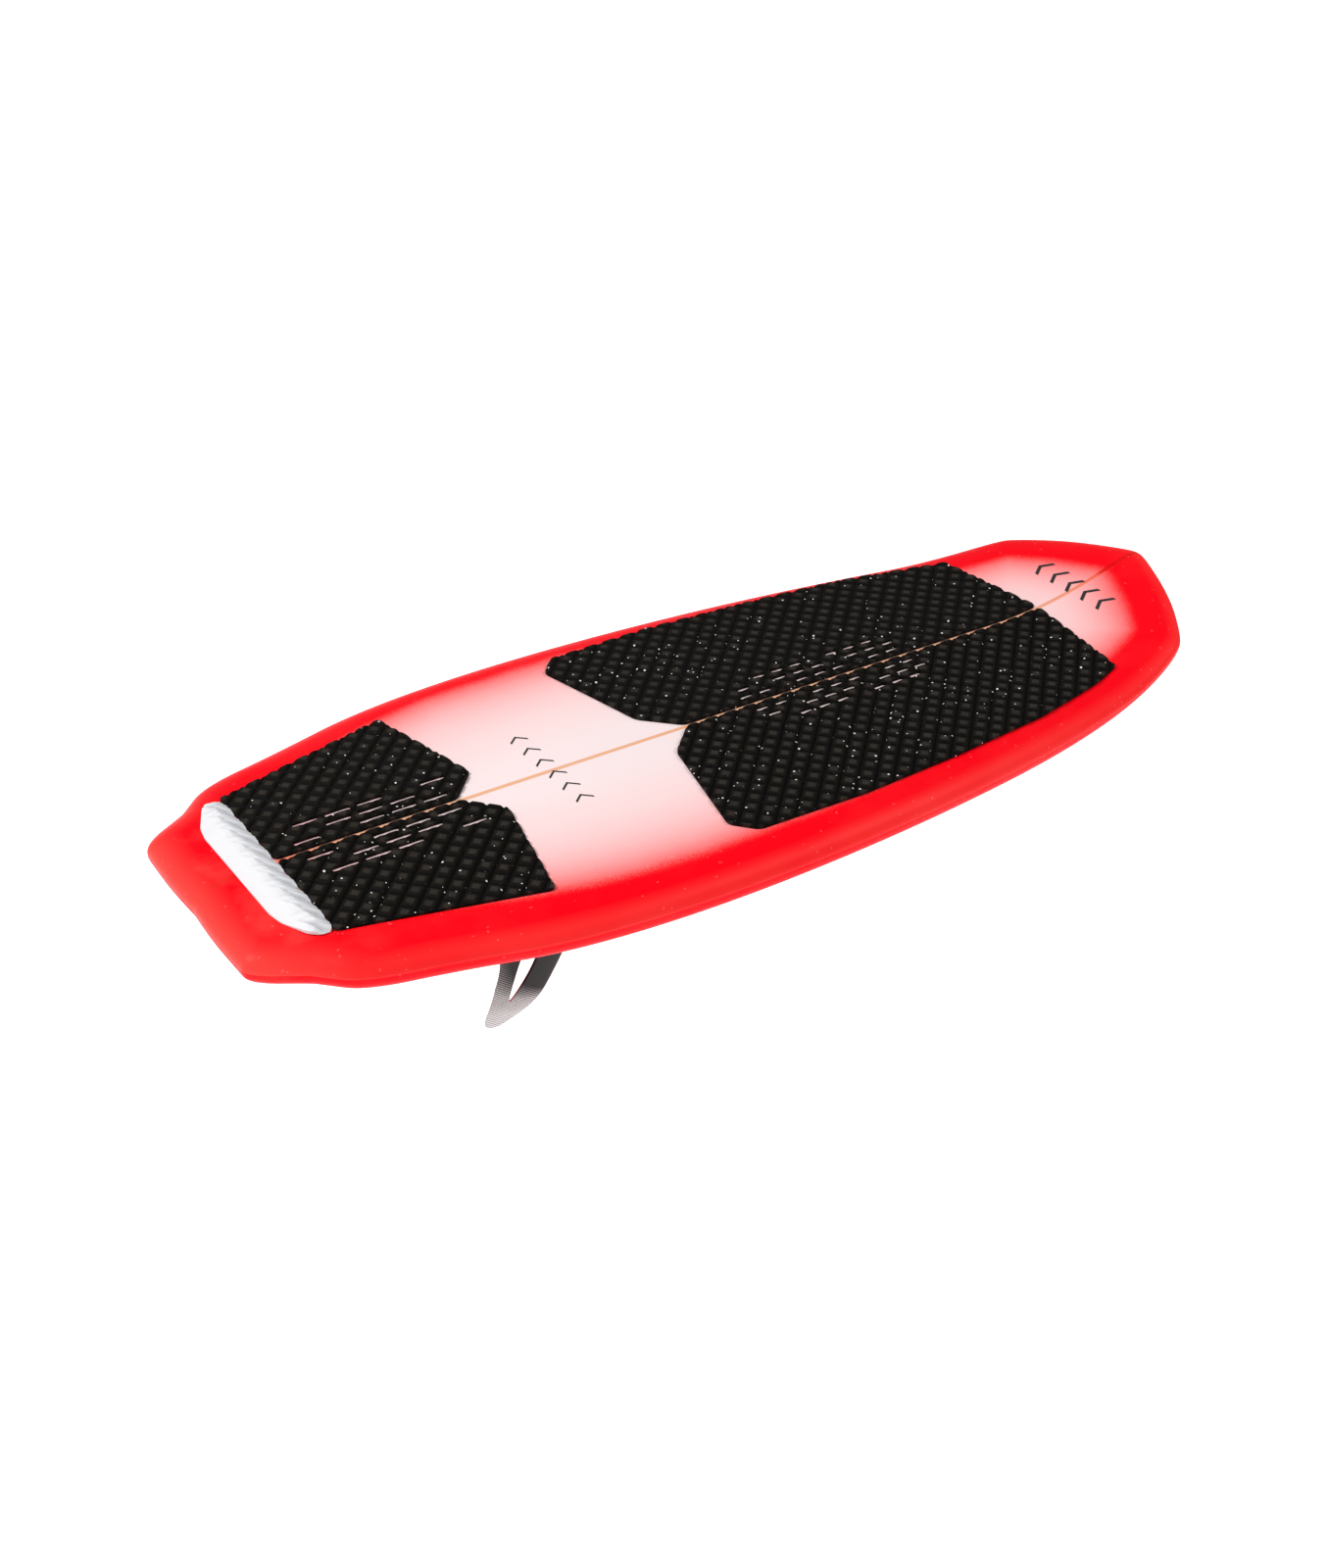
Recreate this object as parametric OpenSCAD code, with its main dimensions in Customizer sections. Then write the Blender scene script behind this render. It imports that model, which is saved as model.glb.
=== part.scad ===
// Wakesurf board: a foam core in two halves around a timber stringer, closed in
// a deck skin and a bottom skin, with grooved foam foot pads, a tail kick and two
// side fins that slide out of moulded boxes once their grub screws are slackened.
// Millimetres. +X towards the nose, +Y to port, +Z up. The origin lies on the flat
// running bottom, on the centreline, halfway along the board.

/* [Hull] */
// overall length
board_len = 1420; // [1380:10:1460]
// half of the greatest width
half_width = 284; // [276:2:292]
// thickness over the middle of the board
thick = 54; // [50:1:58]
// how far the nose rises above the flat deck
nose_lift = 56; // [50:1:60]
// height of the nose underside above the flat bottom
nose_rocker = 76; // [66:1:80]
// drop of the deck at the tail
tail_drop = 3.5; // [2:0.5:6]
// crown of the deck, measured 240 mm off the centreline
deck_crown = 2.4; // [1:0.2:4]
// width of the rounded shoulder along the deck edge
shoulder_w = 60; // [54:1:60]
// width of the tucked edge underneath
tuck_w = 30; // [24:1:33]

/* [Laminate and stringer] */
// thickness of the glass skins
skin_t = 1.5; // [1.2:0.1:2]
// width of the lapped seam between the skins around the rail
seam_w = 2; // [1.5:0.1:2.5]
// thickness of the timber stringer
stringer_t = 4; // [3:0.5:5]

/* [Foot pads] */
// foam pad thickness
pad_t = 4; // [3:0.5:5]
// glue line under the pads
glue_t = 0.3; // [0.2:0.1:0.5]
// height of the tail kick crest above the deck
kick_h = 13; // [10:1:16]
// width of the drain slots
slot_w = 7.5; // [5:0.5:9]
// gap between the two halves of each pad
pad_gap = 6; // [5:0.5:10]

/* [Fins] */
// distance of each fin from the centreline
fin_y = 198; // [190:1:198]
// fin position ahead of the tail edge, at the middle of its base
fin_x = 321; // [312:1:330]
// toe-in of the fins in degrees
fin_toe = 2.5; // [0:0.5:3]
// length of the fin base
fin_base = 108; // [104:1:110]
// depth of the fin below the hull
fin_depth = 113; // [100:1:120]
// thickness of the fin at its base
fin_t = 6; // [5:0.2:6]
// tab clearance in its pocket, each side
tab_gap = 0.25; // [0.15:0.05:0.35]
// radial clearance of the grub screws
screw_gap = 0.05; // [0.02:0.01:0.08]

/* [Hidden] */
half_st = stringer_t / 2;
half_len = board_len / 2;
outline_steps = 3;
wk = half_width / 284;
lk = board_len / 1420;
// control polygon of the port edge: squared tail, wing, long rail, blunt nose
ctrl = [
    [0, half_st], [-3, 50 * wk], [-1, 113 * wk], [0, 137 * wk],
    [55 * lk, 168 * wk], [64 * lk, 176 * wk], [100 * lk, 210 * wk],
    [200 * lk, 233 * wk], [330 * lk, 271 * wk], [520 * lk, 287 * wk],
    [760 * lk, 281 * wk], [1000 * lk, 257 * wk], [1200 * lk, 221 * wk],
    [1321 * lk, 185 * wk], [1347 * lk, 158 * wk], [1386 * lk, 97 * wk],
    [board_len, 12], [board_len, half_st]
];
nc = len(ctrl);

// quadratic curve through the middle of each leg of the control polygon
function quad_pt(a, b, c, t) = (1 - t) * (1 - t) * a + 2 * t * (1 - t) * b + t * t * c;
outline = concat([ctrl[0]], [
    for (j = [1 : nc - 2])
        let (a = j == 1 ? ctrl[0] : (ctrl[j - 1] + ctrl[j]) / 2)
        let (c = j == nc - 2 ? ctrl[nc - 1] : (ctrl[j] + ctrl[j + 1]) / 2)
        for (k = [1 : outline_steps]) quad_pt(a, ctrl[j], c, k / outline_steps)
]);
rays = len(outline) - 1;

// distance run along the edge, used to spread the ribs of the mesh evenly
edge_run = [
    for (i = 0, s = 0; i <= rays;
         s = s + (i < rays ? norm(outline[i + 1] - outline[i]) : 0), i = i + 1) s
];
rib_first = 100;
rib_last = board_len - 110;
function rib_x(i) = rib_first + (rib_last - rib_first) * edge_run[i] / edge_run[rays];

// heights along the board, x measured from the tail edge
function ramp(x, from, to) = max(0, (x - from) / (to - from));
function bottom_z(x) = nose_rocker * pow(ramp(x, 900 * lk, board_len), 3.4)
    + 3 * pow(ramp(x, 100, 0), 2);
function deck_z(x) = thick + nose_lift * pow(ramp(x, 1150 * lk, board_len), 2)
    - tail_drop * pow(ramp(x, 450, 0), 2);
function rail_z(x) = bottom_z(x) + 0.45 * (deck_z(x) - bottom_z(x));
function crown(y) = deck_crown * (y / 240) * (y / 240);
function swell(e, w) = e >= w ? 1 : pow(1 - pow(1 - e / w, 2.2), 1 / 2.2);

// columns of each rib, as distances in from the edge
band = [0, 1.5, 5, 11, 20, 34, 60];
nb = len(band);
cols = nb + 2;
function reach(j, r) = j < nb ? band[j] : 60 + (r - 60) * (j - nb + 1) / 3;

// one point of the hull; up = deck side, inset = on the inner face of the skin
function hull_pt(i, j, up, inset, lift) =
    let (p = outline[i], s = [rib_x(i), half_st])
    let (r = norm(s - p), u = (s - p) / r, e = reach(j, r))
    let (q = p + u * (inset && j < nb ? e + seam_w : e))
    let (t = inset ? skin_t : 0, zr = rail_z(q[0]))
    let (zt = deck_z(q[0]) - crown(q[1]) - t - zr, zb = zr - bottom_z(q[0]) - t)
    [q[0] - half_len, q[1], up ? zr + zt * swell(e, shoulder_w) + lift
                               : zr - zb * swell(e, tuck_w)];

function flip_y(p) = [p[0], -p[1], p[2]];
wide = 2 * cols + 2;
function rib(i, up, inset, lift) = concat(
    [for (j = [0 : cols]) hull_pt(i, j, up, inset, lift)],
    [for (j = [cols : -1 : 0]) flip_y(hull_pt(i, j, up, inset, lift))]);
function sheet_pts(up, inset, lift) = [for (i = [0 : rays]) each rib(i, up, inset, lift)];

// two triangles of a four-sided patch; alt picks the other diagonal
function patch(a, b, c, d, alt, turn) =
    let (t = alt ? [[b, c, d], [b, d, a]] : [[a, b, c], [a, c, d]])
    [for (f = t) if (f[0] != f[1] && f[1] != f[2] && f[0] != f[2])
        turn ? [f[0], f[2], f[1]] : f];

function sheet_faces(base, turn) = concat(
    [for (i = [0 : rays - 1], c = [0 : wide - 2])
        let (a = base + i * wide + c)
        each patch(a, a + wide, a + wide + 1, a + 1, (c > cols) != (i == 0), turn)],
    [for (j = [0 : cols - 1])
        let (a = base + j, b = base + wide - 1 - j)
        each patch(a, a + 1, b - 1, b, false, turn)],
    [for (j = [0 : cols - 1])
        let (a = base + rays * wide + j, b = base + rays * wide + wide - 1 - j)
        each patch(a, b, b - 1, a + 1, false, turn)]);

function loop_id(k) = k <= rays ? k * wide : (2 * rays + 1 - k) * wide + wide - 1;
function rim_faces(second, turn) = [
    for (k = [0 : 2 * rays + 1])
        let (a = loop_id(k), b = loop_id((k + 1) % (2 * rays + 2)))
        each patch(a, a + second, b + second, b, k > rays, turn)];

// a closed shell between two sheets of the same grid
module shell(outer, inner, up) {
    n = len(outer);
    polyhedron(
        points = concat(outer, inner),
        faces = concat(sheet_faces(0, !up), sheet_faces(n, up), rim_faces(n, !up)),
        convexity = 8);
}

// half of the foam core, port side: deck grid, bottom grid and the flat inner wall
hw = cols + 1;
n_half = (rays + 1) * hw;
core_top = [for (i = [0 : rays], j = [0 : cols]) hull_pt(i, j, true, true, 0)];
core_bot = [for (i = [0 : rays], j = [0 : cols]) hull_pt(i, j, false, true, 0)];
function half_faces(base, shared, turn) = [
    for (i = [0 : rays - 1], j = [0 : cols - 1])
        let (a = i * hw + j, b = a + hw, c = b + 1, d = a + 1)
        let (ka = j == 0 && shared ? a : a + base, kb = j == 0 && shared ? b : b + base)
        each patch(ka, kb, c + base, d + base, i == 0, turn)];
spine_path = concat(
    [for (j = [0 : cols]) j],
    [for (i = [1 : rays]) i * hw + cols],
    [for (j = [cols - 1 : -1 : 0]) rays * hw + j]);
ns = len(spine_path);
function low_id(v) = v % hw == 0 ? v : v + n_half;
wall_faces = [
    for (k = [0 : ns - 2])
        let (a = spine_path[k], b = spine_path[k + 1])
        each patch(a, b, low_id(b), low_id(a), false, false)];

module core_half() {
    polyhedron(
        points = concat(core_top, core_bot),
        faces = concat(half_faces(0, false, false), half_faces(n_half, true, true),
                       wall_faces),
        convexity = 8);
}

// port half of a layer lying on the deck, between two heights above it
module deck_layer(low, high) {
    top = [for (i = [0 : rays], j = [0 : cols]) hull_pt(i, j, true, false, high)];
    bot = [for (i = [0 : rays], j = [0 : cols]) hull_pt(i, j, true, false, low)];
    ring = concat(spine_path, [for (i = [rays - 1 : -1 : 1]) i * hw]);
    nr = len(ring);
    polyhedron(
        points = concat(top, bot),
        faces = concat(half_faces(0, false, false), half_faces(n_half, false, true),
            [for (k = [0 : nr - 1])
                let (a = ring[k], b = ring[(k + 1) % nr])
                each patch(a, b, b + n_half, a + n_half, false, false)]),
        convexity = 8);
}

module port_or_starboard(side) {
    if (side > 0) children();
    else mirror([0, 1, 0]) children();
}

/* fins and their boxes, in a frame at the middle of each fin base */
box_len = 112;
box_w = 27;
box_d = 20;
tab_x = 27;
tab_len = 26;
tab_h = 14;
screw_r = 2.5;
screw_len = 7;
screw_tilt = 30;
screw_recess = 0.8;
bond_gap = 0.15;
screw_y = -(fin_t / 2 + 0.15 + screw_r * cos(screw_tilt) + screw_len * sin(screw_tilt));
screw_z = screw_recess * cos(screw_tilt) + screw_r * sin(screw_tilt);

module at_fin(side) {
    port_or_starboard(side)
        translate([fin_x * lk - half_len, fin_y, 0]) rotate([0, 0, -fin_toe]) children();
}

module at_screw(end) {
    translate([end * tab_x, screw_y, screw_z]) rotate([-screw_tilt, 0, 0]) children();
}

module box_block(extra) {
    run = box_len / 2 - box_w / 2;
    union() {
        for (e = [-1, 1]) translate([e * run, 0, -extra])
            cylinder(r = box_w / 2 + extra, h = box_d + 2 * extra, $fn = 64);
        translate([-run, -box_w / 2 - extra, -extra])
            cube([2 * run, box_w + 2 * extra, box_d + 2 * extra]);
    }
}

module fin_box(side) {
    color([0.08, 0.08, 0.09]) at_fin(side) difference() {
        box_block(0);
        for (e = [-1, 1]) {
            translate([e * tab_x - tab_len / 2 - 0.5, -fin_t / 2 - tab_gap, -1])
                cube([tab_len + 1, fin_t + 2 * tab_gap, tab_h + 2]);
            at_screw(e) translate([0, 0, -12])
                cylinder(r = screw_r + screw_gap, h = 12.6 + screw_len, $fn = 48);
        }
    }
}

module grub_screw(side, end) {
    color([0.62, 0.63, 0.65]) at_fin(side) at_screw(end) difference() {
        cylinder(r = screw_r, h = screw_len, $fn = 48);
        translate([0, 0, -1]) cylinder(r = 1.45, h = 3.6, $fn = 6);
    }
}

// planform of the raked blade: leading and trailing edge at a fraction of the depth
function lead_x(d) = fin_base / 2 - 64 * pow(d, 1.2) - 40 * pow(d, 14);
function trail_x(d) = -fin_base / 2 + 3 * sin(180 * min(1, d * 1.9)) - 30 * pow(d, 3)
    + 20 * pow(d, 18);
blade_rows = [0, 0.13, 0.27, 0.4, 0.53, 0.66, 0.78, 0.87, 0.94, 0.98, 1];
foil = [[0, 0.14], [0.03, 0.5], [0.1, 0.78], [0.25, 1], [0.45, 0.96], [0.68, 0.7],
        [0.87, 0.4], [1, 0.16]];
nf = len(foil);

function blade_ring(d) =
    let (xl = lead_x(d), xt = trail_x(d), t = fin_t * (1 - 0.62 * d) / 2)
    let (z = -0.05 - d * (fin_depth - 0.05))
    concat([for (f = foil) [xl + (xt - xl) * f[0], t * f[1], z]],
           [for (k = [nf - 1 : -1 : 0]) [xl + (xt - xl) * foil[k][0], -t * foil[k][1], z]]);

module blade() {
    m = 2 * nf;
    rows = len(blade_rows);
    polyhedron(
        points = [for (d = blade_rows) each blade_ring(d)],
        faces = concat(
            [[for (k = [m - 1 : -1 : 0]) k]],
            [[for (k = [0 : m - 1]) (rows - 1) * m + k]],
            [for (r = [0 : rows - 2], k = [0 : m - 1])
                let (a = r * m + k, b = r * m + (k + 1) % m)
                each patch(a, a + m, b + m, b, false, true)]),
        convexity = 6);
}

// the opening that leaves a slim trailing leg and a broader leading leg
window = [[-43, -88], [-34, -58], [-24, -30], [-15, -8], [5, -8], [2, -30], [-12, -56],
          [-32, -80]];
module fin_window() {
    nw = len(window);
    k = fin_depth / 113;
    rotate([90, 0, 0]) translate([0, 0, -10]) linear_extrude(20)
        polygon([for (j = [0 : nw - 1], t = [0 : 0.25 : 0.75])
            let (a = window[j], b = window[(j + 1) % nw], c = window[(j + 2) % nw])
            let (w = quad_pt((a + b) / 2, b, (b + c) / 2, t)) [w[0], w[1] * k]]);
}

module fin(side) {
    color([0.10, 0.10, 0.11]) at_fin(side) difference() {
        union() {
            blade();
            for (e = [-1, 1])
                translate([e * tab_x - tab_len / 2, -fin_t / 2, -0.3])
                    cube([tab_len, fin_t, tab_h + 0.3]);
        }
        fin_window();
    }
}

/* pads: plan shapes of the port halves, x measured from the tail edge */
front_plan = [[652, pad_gap / 2], [608, 45], [572, 203], [598, 230], [750, 234], [900, 226],
              [1050, 212], [1110, 200], [1170, 187], [1216, 172], [1234, pad_gap / 2]];
rear_plan = [[101, pad_gap / 2], [101, 132], [98, 148], [337, 209], [373, 45],
             [333, pad_gap / 2]];
kick_plan = [[53, -84], [53, 84], [57, 105], [73, 137], [84, 146], [97, 147], [100, 132],
             [100, -132], [97, -147], [84, -146], [73, -137], [57, -105]];

module plan_prism(pts) {
    translate([-half_len, 0, 0]) linear_extrude(180)
        polygon([for (p = pts) [p[0] * lk, p[1]]]);
}

module drain_slot(x, y, run) {
    translate([x * lk - half_len - run / 2, y - slot_w / 2, 0]) cube([run, slot_w, 180]);
}

module front_pad(side) {
    color([0.11, 0.10, 0.10]) port_or_starboard(side) difference() {
        intersection() {
            deck_layer(glue_t, glue_t + pad_t);
            plan_prism(front_plan);
        }
        for (row = [1 : 3], k = [0 : 8])
            if ((k + row) % 4 != 3) drain_slot(750 + 29.3 * k + 7 * row, 17 * row, 20);
    }
}

module rear_pad(side) {
    color([0.11, 0.10, 0.10]) port_or_starboard(side) difference() {
        intersection() {
            deck_layer(glue_t, glue_t + pad_t);
            plan_prism(rear_plan);
        }
        for (row = [1 : 3], k = [0 : 4])
            if ((k + row) % 4 != 2) drain_slot(140 + 41 * k + 7 * row, 17 * row, 33);
    }
}

module tail_kick() {
    base = deck_z(80);
    color([0.94, 0.94, 0.94]) difference() {
        intersection() {
            shell(sheet_pts(true, false, 40), sheet_pts(true, false, glue_t), true);
            plan_prism(kick_plan);
            translate([-half_len, 200, 0]) rotate([90, 0, 0]) linear_extrude(400)
                polygon([[47, 0], [47, base], [52, base + 3], [70, base + kick_h - 2],
                         [77, base + kick_h], [82, base + kick_h], [102, base + 4],
                         [102, 0]]);
        }
        for (k = [-4 : 4])
            translate([80 - half_len, 33 * k, base + kick_h]) rotate([0, 21, 0])
                rotate([45, 0, 0]) translate([-12, -2.6, -2.6]) cube([60, 5.2, 5.2]);
    }
}

module core(side) {
    color([0.95, 0.95, 0.92]) difference() {
        port_or_starboard(side) core_half();
        at_fin(side) box_block(bond_gap);
    }
}

module stringer() {
    top = [for (v = spine_path) [core_top[v][0], core_top[v][2]]];
    low = [for (k = [ns - 2 : -1 : 1])
        let (v = spine_path[k]) [core_bot[v][0], core_bot[v][2]]];
    color([0.80, 0.62, 0.40]) translate([0, half_st, 0]) rotate([90, 0, 0])
        linear_extrude(stringer_t) polygon(concat(top, low));
}

module deck_skin() {
    color([0.93, 0.25, 0.27])
        shell(sheet_pts(true, false, 0), sheet_pts(true, true, 0), true);
}

module bottom_skin() {
    color([0.90, 0.06, 0.10]) difference() {
        shell(sheet_pts(false, false, 0), sheet_pts(false, true, 0), false);
        for (s = [-1, 1]) at_fin(s) box_block(bond_gap);
    }
}

core(1);  // core_left
core(-1);  // core_right
stringer();
deck_skin();
bottom_skin();
front_pad(1);  // front_pad_left
front_pad(-1);  // front_pad_right
rear_pad(1);  // rear_pad_left
rear_pad(-1);  // rear_pad_right
tail_kick();
fin_box(1);  // fin_box_left
fin_box(-1);  // fin_box_right
fin(1);  // fin_left
fin(-1);  // fin_right
grub_screw(1, 1);  // fin_screw_left_front
grub_screw(1, -1);  // fin_screw_left_rear
grub_screw(-1, 1);  // fin_screw_right_front
grub_screw(-1, -1);  // fin_screw_right_rear
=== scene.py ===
import math

import bmesh
import bpy
import numpy as np
from mathutils import Matrix, Vector


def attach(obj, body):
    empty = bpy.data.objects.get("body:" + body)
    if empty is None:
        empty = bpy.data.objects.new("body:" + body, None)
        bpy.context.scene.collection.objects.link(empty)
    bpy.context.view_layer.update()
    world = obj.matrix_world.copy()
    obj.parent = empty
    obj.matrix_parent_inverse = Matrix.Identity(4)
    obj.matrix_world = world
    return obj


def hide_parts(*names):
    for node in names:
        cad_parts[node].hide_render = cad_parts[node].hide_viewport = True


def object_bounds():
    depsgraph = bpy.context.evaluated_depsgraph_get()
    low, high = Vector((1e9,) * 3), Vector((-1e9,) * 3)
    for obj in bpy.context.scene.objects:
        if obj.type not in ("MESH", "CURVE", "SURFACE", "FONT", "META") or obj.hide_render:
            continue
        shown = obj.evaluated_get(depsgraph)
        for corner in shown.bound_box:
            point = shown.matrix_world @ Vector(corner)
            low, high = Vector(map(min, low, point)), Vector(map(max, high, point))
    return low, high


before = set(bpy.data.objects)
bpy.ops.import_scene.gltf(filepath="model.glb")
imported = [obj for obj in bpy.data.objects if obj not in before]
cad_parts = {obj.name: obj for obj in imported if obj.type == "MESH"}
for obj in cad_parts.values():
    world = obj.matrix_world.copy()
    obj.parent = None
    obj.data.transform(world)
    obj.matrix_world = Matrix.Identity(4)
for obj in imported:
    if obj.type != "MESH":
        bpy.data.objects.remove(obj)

CAD_LO, CAD_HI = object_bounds()

# ---- sizes, in metres, as in the CAD; plans run from the tail ------------------------
LENGTH = 1.42
HALF_LEN = LENGTH / 2
THICK = 0.054
NOSE_LIFT = 0.056
NOSE_ROCKER = 0.076
TAIL_DROP = 0.0035
CROWN = 0.0024
SHOULDER = 0.060
TUCK = 0.030
SKIN = 0.0015
HALF_ST = 0.002
GLUE = 0.0003
PAD_T = 0.004
PAD_GAP = 0.006
KICK_H = 0.013
FIN_X, FIN_Y, FIN_TOE = 0.321, 0.198, math.radians(2.5)
FIN_BASE, FIN_DEPTH, FIN_T = 0.108, 0.113, 0.006
GROOVE = 0.0207          # pitch of the diamond grooves, square to them

EDGE_CTRL = np.array([
    (0, HALF_ST), (-0.003, 0.050), (-0.001, 0.113), (0, 0.137), (0.055, 0.168),
    (0.064, 0.176), (0.100, 0.210), (0.200, 0.233), (0.330, 0.271), (0.520, 0.287),
    (0.760, 0.281), (1.000, 0.257), (1.200, 0.221), (1.321, 0.185), (1.347, 0.158),
    (1.386, 0.097), (LENGTH, 0.012), (LENGTH, HALF_ST)])


# ---- the hull's surface --------------------------------------------------------------
def curve_through(ctrl, steps, closed=False):
    """Quadratic curve through the middle of each leg of a control polygon."""
    n, out = len(ctrl), []
    span = range(n) if closed else range(1, n - 1)
    for j in span:
        a, b, c = ctrl[(j - 1) % n], ctrl[j], ctrl[(j + 1) % n]
        a = a if (j == 1 and not closed) else (a + b) / 2
        c = c if (j == n - 2 and not closed) else (b + c) / 2
        for t in np.linspace(0, 1, steps + 1)[1:]:
            out.append((1 - t) ** 2 * a + 2 * t * (1 - t) * b + t * t * c)
    return np.array(([] if closed else [ctrl[0]]) + out)


def ramp(x, a, b):
    return np.clip((x - a) / (b - a), 0, None)


def bottom_z(x):
    return NOSE_ROCKER * ramp(x, 0.9, LENGTH) ** 3.4 + 0.003 * ramp(x, 0.1, 0) ** 2


def deck_mid_z(x):
    return (THICK + NOSE_LIFT * ramp(x, 1.15, LENGTH) ** 2
            - TAIL_DROP * ramp(x, 0.45, 0) ** 2)


def rail_z(x):
    return bottom_z(x) + 0.45 * (deck_mid_z(x) - bottom_z(x))


def swell(e, w):
    return np.where(e >= w, 1, (1 - np.clip(1 - e / w, 0, 1) ** 2.2) ** (1 / 2.2))


EDGE = curve_through(EDGE_CTRL, 16)
EDGE_RUN = np.concatenate([[0], np.cumsum(np.linalg.norm(np.diff(EDGE, axis=0), axis=1))])
SPINE = 0.100 + (LENGTH - 0.210) * EDGE_RUN / EDGE_RUN[-1]


def hull_height(x, y, e, up):
    zr = rail_z(x)
    zt = deck_mid_z(x) - CROWN * (y / 0.24) ** 2 - zr
    return zr + zt * swell(e, SHOULDER) if up else zr - (zr - bottom_z(x)) * swell(e, TUCK)


def edge_distance(x, y):
    """Shortest way to the board's outline, for points x from the tail, y off centre."""
    a, b = EDGE[:-1], EDGE[1:]
    ab = b - a
    ll = np.maximum((ab ** 2).sum(1), 1e-12)
    pts = np.stack([np.ravel(x), np.abs(np.ravel(y))], 1)
    out = np.empty(len(pts))
    for s in range(0, len(pts), 4000):
        p = pts[s:s + 4000, None]
        t = np.clip(((p - a) * ab).sum(2) / ll, 0, 1)
        out[s:s + 4000] = np.linalg.norm(p - a - ab * t[..., None], axis=2).min(1)
    return out.reshape(np.shape(x))


def ray_distance(x, y):
    """Way from the outline to a point, along the rib through it, as the hull is built."""
    pts = np.stack([np.ravel(x), np.maximum(np.abs(np.ravel(y)), HALF_ST)], 1)
    s = np.stack([SPINE, np.full(len(SPINE), HALF_ST)], 1)
    d = EDGE - s
    out = np.empty(len(pts))
    for k in range(0, len(pts), 4000):
        p = pts[k:k + 4000, None]
        side = d[:, 0] * (p[..., 1] - s[:, 1]) - d[:, 1] * (p[..., 0] - s[:, 0])
        i = np.clip((side > 0).sum(1), 1, len(EDGE) - 1)
        a, b = side[np.arange(len(i)), i - 1], side[np.arange(len(i)), i]
        w = np.clip(a / np.where(a - b == 0, 1, a - b), 0, 1)[:, None]
        foot = EDGE[i - 1] * (1 - w) + EDGE[i] * w
        out[k:k + 4000] = np.linalg.norm(p[:, 0] - foot, axis=1)
    return out.reshape(np.shape(x))


def deck_z(x, y):
    return hull_height(x, y, ray_distance(x, y), True)


# ---- mesh helpers --------------------------------------------------------------------
def add_mesh(name, verts, faces, smooth=True):
    me = bpy.data.meshes.new(name)
    me.from_pydata([tuple(v) for v in verts], [], [tuple(f) for f in faces])
    me.validate()
    me.update()
    me.polygons.foreach_set("use_smooth", [smooth] * len(me.polygons))
    ob = bpy.data.objects.new(name, me)
    bpy.context.scene.collection.objects.link(ob)
    return ob


def grid_faces(rows, cols, base=0, turn=False, wrap=False):
    out = []
    for i in range(rows - 1):
        for j in range(cols if wrap else cols - 1):
            k = (j + 1) % cols
            f = (base + i * cols + j, base + (i + 1) * cols + j,
                 base + (i + 1) * cols + k, base + i * cols + k)
            out.append(f[::-1] if turn else f)
    return out


def bake(ob):
    """Applies an object's modifiers to its mesh."""
    dg = bpy.context.evaluated_depsgraph_get()
    me = bpy.data.meshes.new_from_object(ob.evaluated_get(dg))
    old = ob.data
    ob.modifiers.clear()
    ob.data = me
    bpy.data.meshes.remove(old)
    return ob


def face_outwards(ob):
    """Turns the faces of a closed mesh outwards."""
    bm = bmesh.new()
    bm.from_mesh(ob.data)
    bmesh.ops.recalc_face_normals(bm, faces=bm.faces)
    if bm.calc_volume(signed=True) < 0:
        bmesh.ops.reverse_faces(bm, faces=bm.faces)
    bm.to_mesh(ob.data)
    bm.free()


def closed_sheet(name, x, y, top_z, base_z, turn=False):
    """A closed sheet between two heights over a grid of points, x from the tail."""
    n, m = x.shape
    low = n * m
    verts = np.concatenate([np.stack([x - HALF_LEN, y, z], -1).reshape(-1, 3)
                            for z in (top_z, base_z)])
    faces = grid_faces(n, m, turn=turn) + grid_faces(n, m, low, turn=not turn)
    ring = ([i * m for i in range(n)] + [(n - 1) * m + j for j in range(1, m)]
            + [i * m + m - 1 for i in range(n - 2, -1, -1)] + [j for j in range(m - 2, 0, -1)])
    for a, b in zip(ring, ring[1:] + ring[:1]):
        faces.append((a, b, b + low, a + low) if turn else (a, a + low, b + low, b))
    return add_mesh(name, verts, faces)


def coat(ob, material):
    """Gives an object one material in place of any it has."""
    ob.data.materials.clear()
    ob.data.materials.append(material)


def cut(ob, tool, how="DIFFERENCE"):
    m = ob.modifiers.new("cut", "BOOLEAN")
    m.operation, m.solver, m.object = how, "MANIFOLD", tool
    bake(ob)
    bpy.data.objects.remove(tool)
    return ob


def smooth_by_angle(ob, degrees=35):
    ob.data.polygons.foreach_set("use_smooth", [True] * len(ob.data.polygons))
    ob.data.set_sharp_from_angle(angle=math.radians(degrees))


def prism(name, outline, z0, z1):
    """A closed upright prism over a plan outline given anticlockwise."""
    n = len(outline)
    verts = [(x, y, z0) for x, y in outline] + [(x, y, z1) for x, y in outline]
    faces = [tuple(range(n))[::-1], tuple(range(n, 2 * n))]
    faces += [(k, (k + 1) % n, n + (k + 1) % n, n + k) for k in range(n)]
    return add_mesh(name, verts, faces, smooth=False)


def rounded(poly, radius, steps=5):
    """A polygon with its corners rounded off; radius is the cut-back along each side."""
    out, n = [], len(poly)
    for k in range(n):
        p, a, b = (np.array(poly[k], float), np.array(poly[k - 1], float),
                   np.array(poly[(k + 1) % n], float))
        ra = min(radius, np.linalg.norm(a - p) * 0.45)
        rb = min(radius, np.linalg.norm(b - p) * 0.45)
        a, b = p + (a - p) / np.linalg.norm(a - p) * ra, p + (b - p) / np.linalg.norm(b - p) * rb
        for t in np.linspace(0, 1, steps):
            out.append((1 - t) ** 2 * a + 2 * t * (1 - t) * p + t * t * b)
    return np.array(out)


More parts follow.
